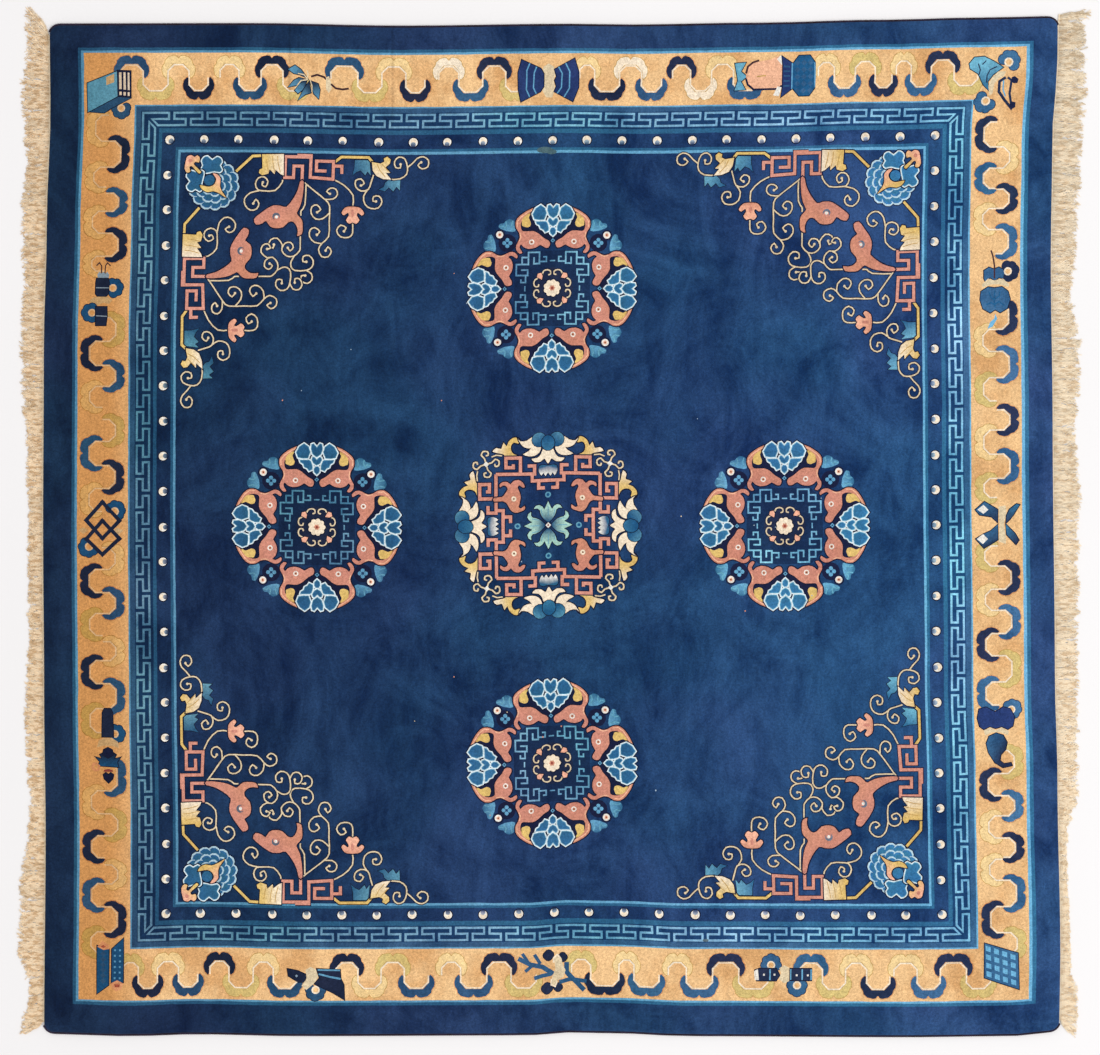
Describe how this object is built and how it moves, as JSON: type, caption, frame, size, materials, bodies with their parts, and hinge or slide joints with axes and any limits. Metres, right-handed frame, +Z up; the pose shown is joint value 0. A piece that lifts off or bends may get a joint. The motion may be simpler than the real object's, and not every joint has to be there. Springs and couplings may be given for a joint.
{
  "type": "square knotted wool carpet with fringed ends",
  "caption": "Flat square Chinese art deco carpet of blue wool pile with a gold figured border, fringed at opposite ends and corded along its other sides.",
  "frame": {"origin": "middle of the carpet's box, on the floor that it lies on", "axes": "+Z up out of the pile, +X from the left fringe to the right fringe, +Y towards the back corded side"},
  "size_m": [2.916, 2.778, 0.013],
  "materials": {
    "pile": "soft cut wool pile with carved outlines",
    "binding": "matt overcast wool",
    "warp": "matt undyed cotton"
  },
  "bodies": {
    "root": {"pile_carpet": "pile", "selvedge_cord_front": "binding", "selvedge_cord_back": "binding", "fringe_left": "warp", "fringe_right": "warp"}
  },
  "joints": []
}
